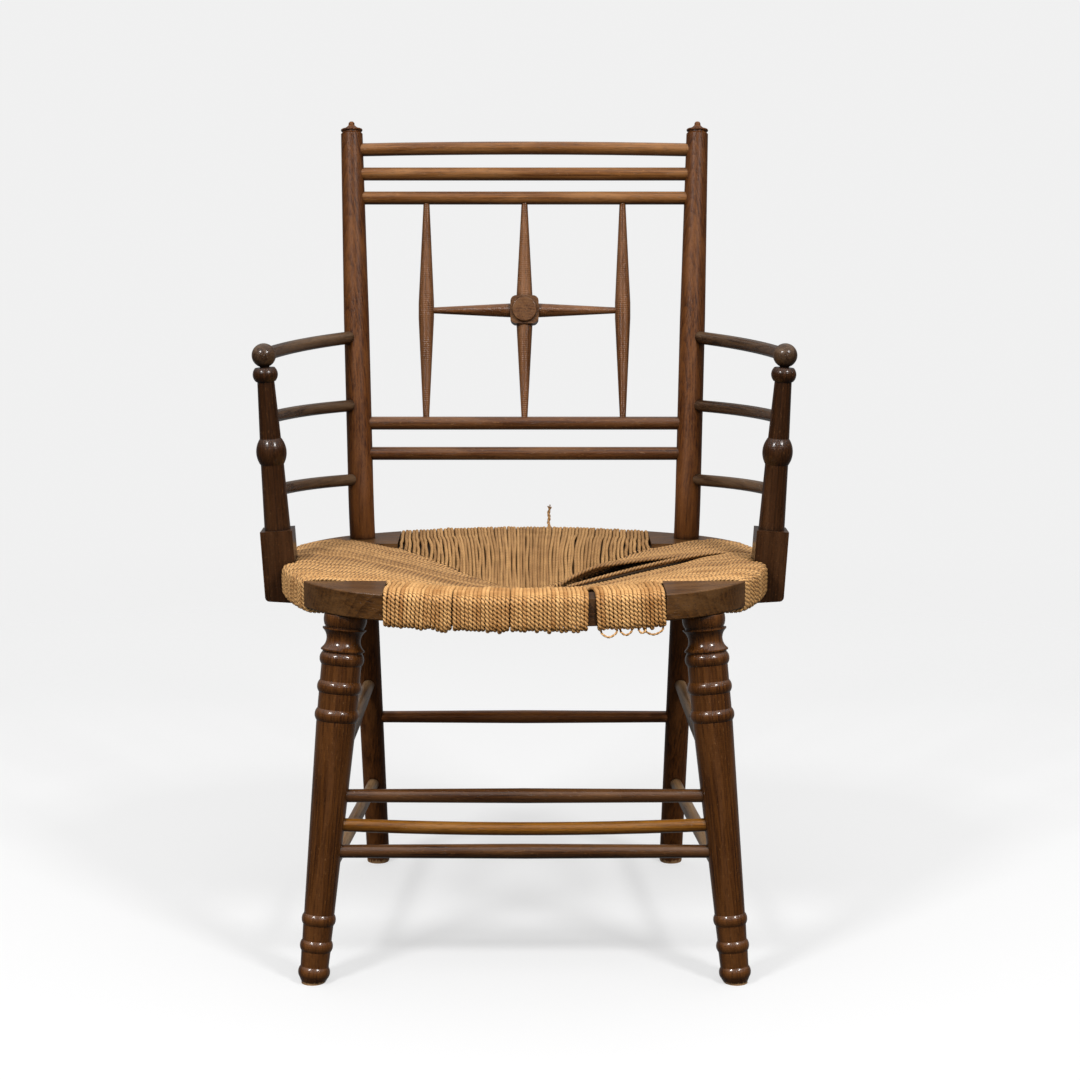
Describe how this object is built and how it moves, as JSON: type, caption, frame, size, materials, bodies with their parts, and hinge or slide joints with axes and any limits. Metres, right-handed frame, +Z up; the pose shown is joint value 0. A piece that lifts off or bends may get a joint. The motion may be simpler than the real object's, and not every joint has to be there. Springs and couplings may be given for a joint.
{
  "type": "rush-seated armchair",
  "caption": "Low armchair of turned stained wood with a rounded rush seat on corner blocks, a raked stick back with a centre boss, and bowed arms over turned posts.",
  "frame": {"origin": "on the floor, under the middle of the chair's overall box", "axes": "+Z up; the sitter faces -Y; +X is on the right of someone who looks at the chair's front"},
  "size_m": [0.571, 0.4613, 0.8626],
  "materials": {
    "stained_ash": "dark stained, polished",
    "golden_ash": "lighter stain, polished",
    "bare_ash": "plain, covered by the rush",
    "rush": "twisted rush cord",
    "screw_steel": "plain"
  },
  "bodies": {
    "root": {"crest_rail_top": "stained_ash", "crest_rail_middle": "stained_ash", "crest_rail_lower": "stained_ash", "lower_back_rail_upper": "stained_ash", "lower_back_rail_lower": "stained_ash", "outer_spindle_left": "stained_ash", "outer_spindle_right": "stained_ash", "centre_spindle_upper": "stained_ash", "centre_spindle_lower": "stained_ash", "cross_spindle_left": "stained_ash", "cross_spindle_right": "stained_ash", "centre_boss": "stained_ash", "arm_left": "stained_ash", "arm_right": "stained_ash", "arm_middle_rail_left": "stained_ash", "arm_middle_rail_right": "stained_ash", "arm_lower_rail_left": "stained_ash", "arm_lower_rail_right": "stained_ash", "arm_post_left": "stained_ash", "arm_post_right": "stained_ash", "arm_post_screws": "screw_steel", "front_stretcher_top": "stained_ash", "front_stretcher_middle": "golden_ash", "front_stretcher_lower": "stained_ash", "rear_stretcher": "stained_ash", "side_stretcher_upper_left": "stained_ash", "side_stretcher_upper_right": "stained_ash", "side_stretcher_lower_left": "stained_ash", "side_stretcher_lower_right": "stained_ash", "front_leg_left": "stained_ash", "front_leg_right": "stained_ash", "back_post_left": "stained_ash", "back_post_right": "stained_ash", "front_corner_block_left": "stained_ash", "front_corner_block_right": "stained_ash", "rear_corner_block_left": "stained_ash", "rear_corner_block_right": "stained_ash", "seat_rail_front": "bare_ash", "seat_rail_back": "bare_ash", "seat_rail_left": "bare_ash", "seat_rail_right": "bare_ash", "rush_seat": "rush"}
  },
  "joints": []
}
